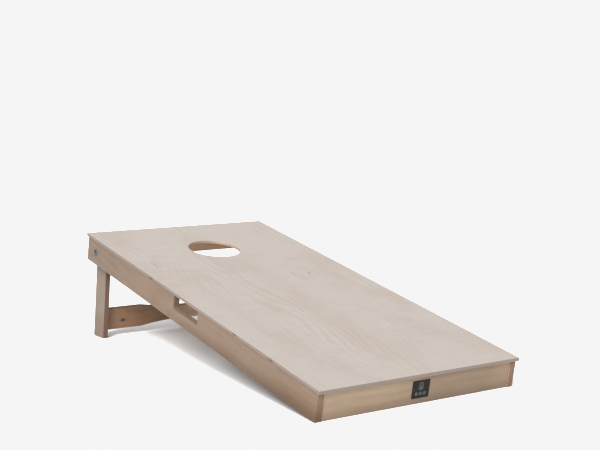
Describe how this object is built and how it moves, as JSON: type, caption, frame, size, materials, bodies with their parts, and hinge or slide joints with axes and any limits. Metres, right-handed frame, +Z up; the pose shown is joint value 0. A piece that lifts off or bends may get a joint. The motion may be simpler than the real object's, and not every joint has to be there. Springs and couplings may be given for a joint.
{
  "type": "cornhole board",
  "caption": "Sloping plywood game board with a round bag hole, hand notches in its side rails and a braced leg frame that folds up under the high end.",
  "frame": {"origin": "on the floor, below the middle of the bounding box of the board with its legs down", "axes": "+X across the board, to the right of a player who faces it; +Y from the low end to the high end; +Z up"},
  "size_m": [0.6032, 1.1922, 0.3109],
  "materials": {
    "deck_ply": "pale sanded birch plywood, clear matt lacquer",
    "rail_ply": "birch plywood, clear matt lacquer, long figure along the rail",
    "leg_ply": "birch plywood, clear matt lacquer",
    "brace_ply": "birch plywood with a small dark knot, clear matt lacquer",
    "zinc": "bright zinc plate, slightly dulled",
    "yellow_zinc": "yellow passivated zinc plate",
    "nylon": "blue nylon locking ring",
    "badge_plastic": "matt black moulded plate"
  },
  "bodies": {
    "board": {"top_panel": "deck_ply", "left_side_rail": "rail_ply", "right_side_rail": "rail_ply", "front_rail": "rail_ply", "rear_rail": "rail_ply", "front_badge": "badge_plastic", "left_pivot_bolt": "zinc", "right_pivot_bolt": "zinc", "left_spacer_washer": "zinc", "right_spacer_washer": "zinc", "left_nut_washer": "zinc", "right_nut_washer": "zinc", "left_lock_nut": "zinc", "right_lock_nut": "zinc", "left_nut_insert": "nylon", "right_nut_insert": "nylon", "left_panel_screws": "yellow_zinc", "right_panel_screws": "yellow_zinc", "front_panel_screws": "yellow_zinc", "rear_panel_screws": "yellow_zinc", "front_corner_screws": "yellow_zinc", "rear_corner_screws": "yellow_zinc"},
    "leg_frame": {"left_leg": "leg_ply", "right_leg": "leg_ply", "leg_brace": "brace_ply", "left_brace_screws": "yellow_zinc", "right_brace_screws": "yellow_zinc"}
  },
  "joints": [
    {"name": "leg_fold", "type": "hinge", "parent": "board", "child": "leg_frame", "pos_m": [0, 0.53038, 0.25598], "axis": [-1, 0, 0], "range_deg": [0, 86]}
  ]
}
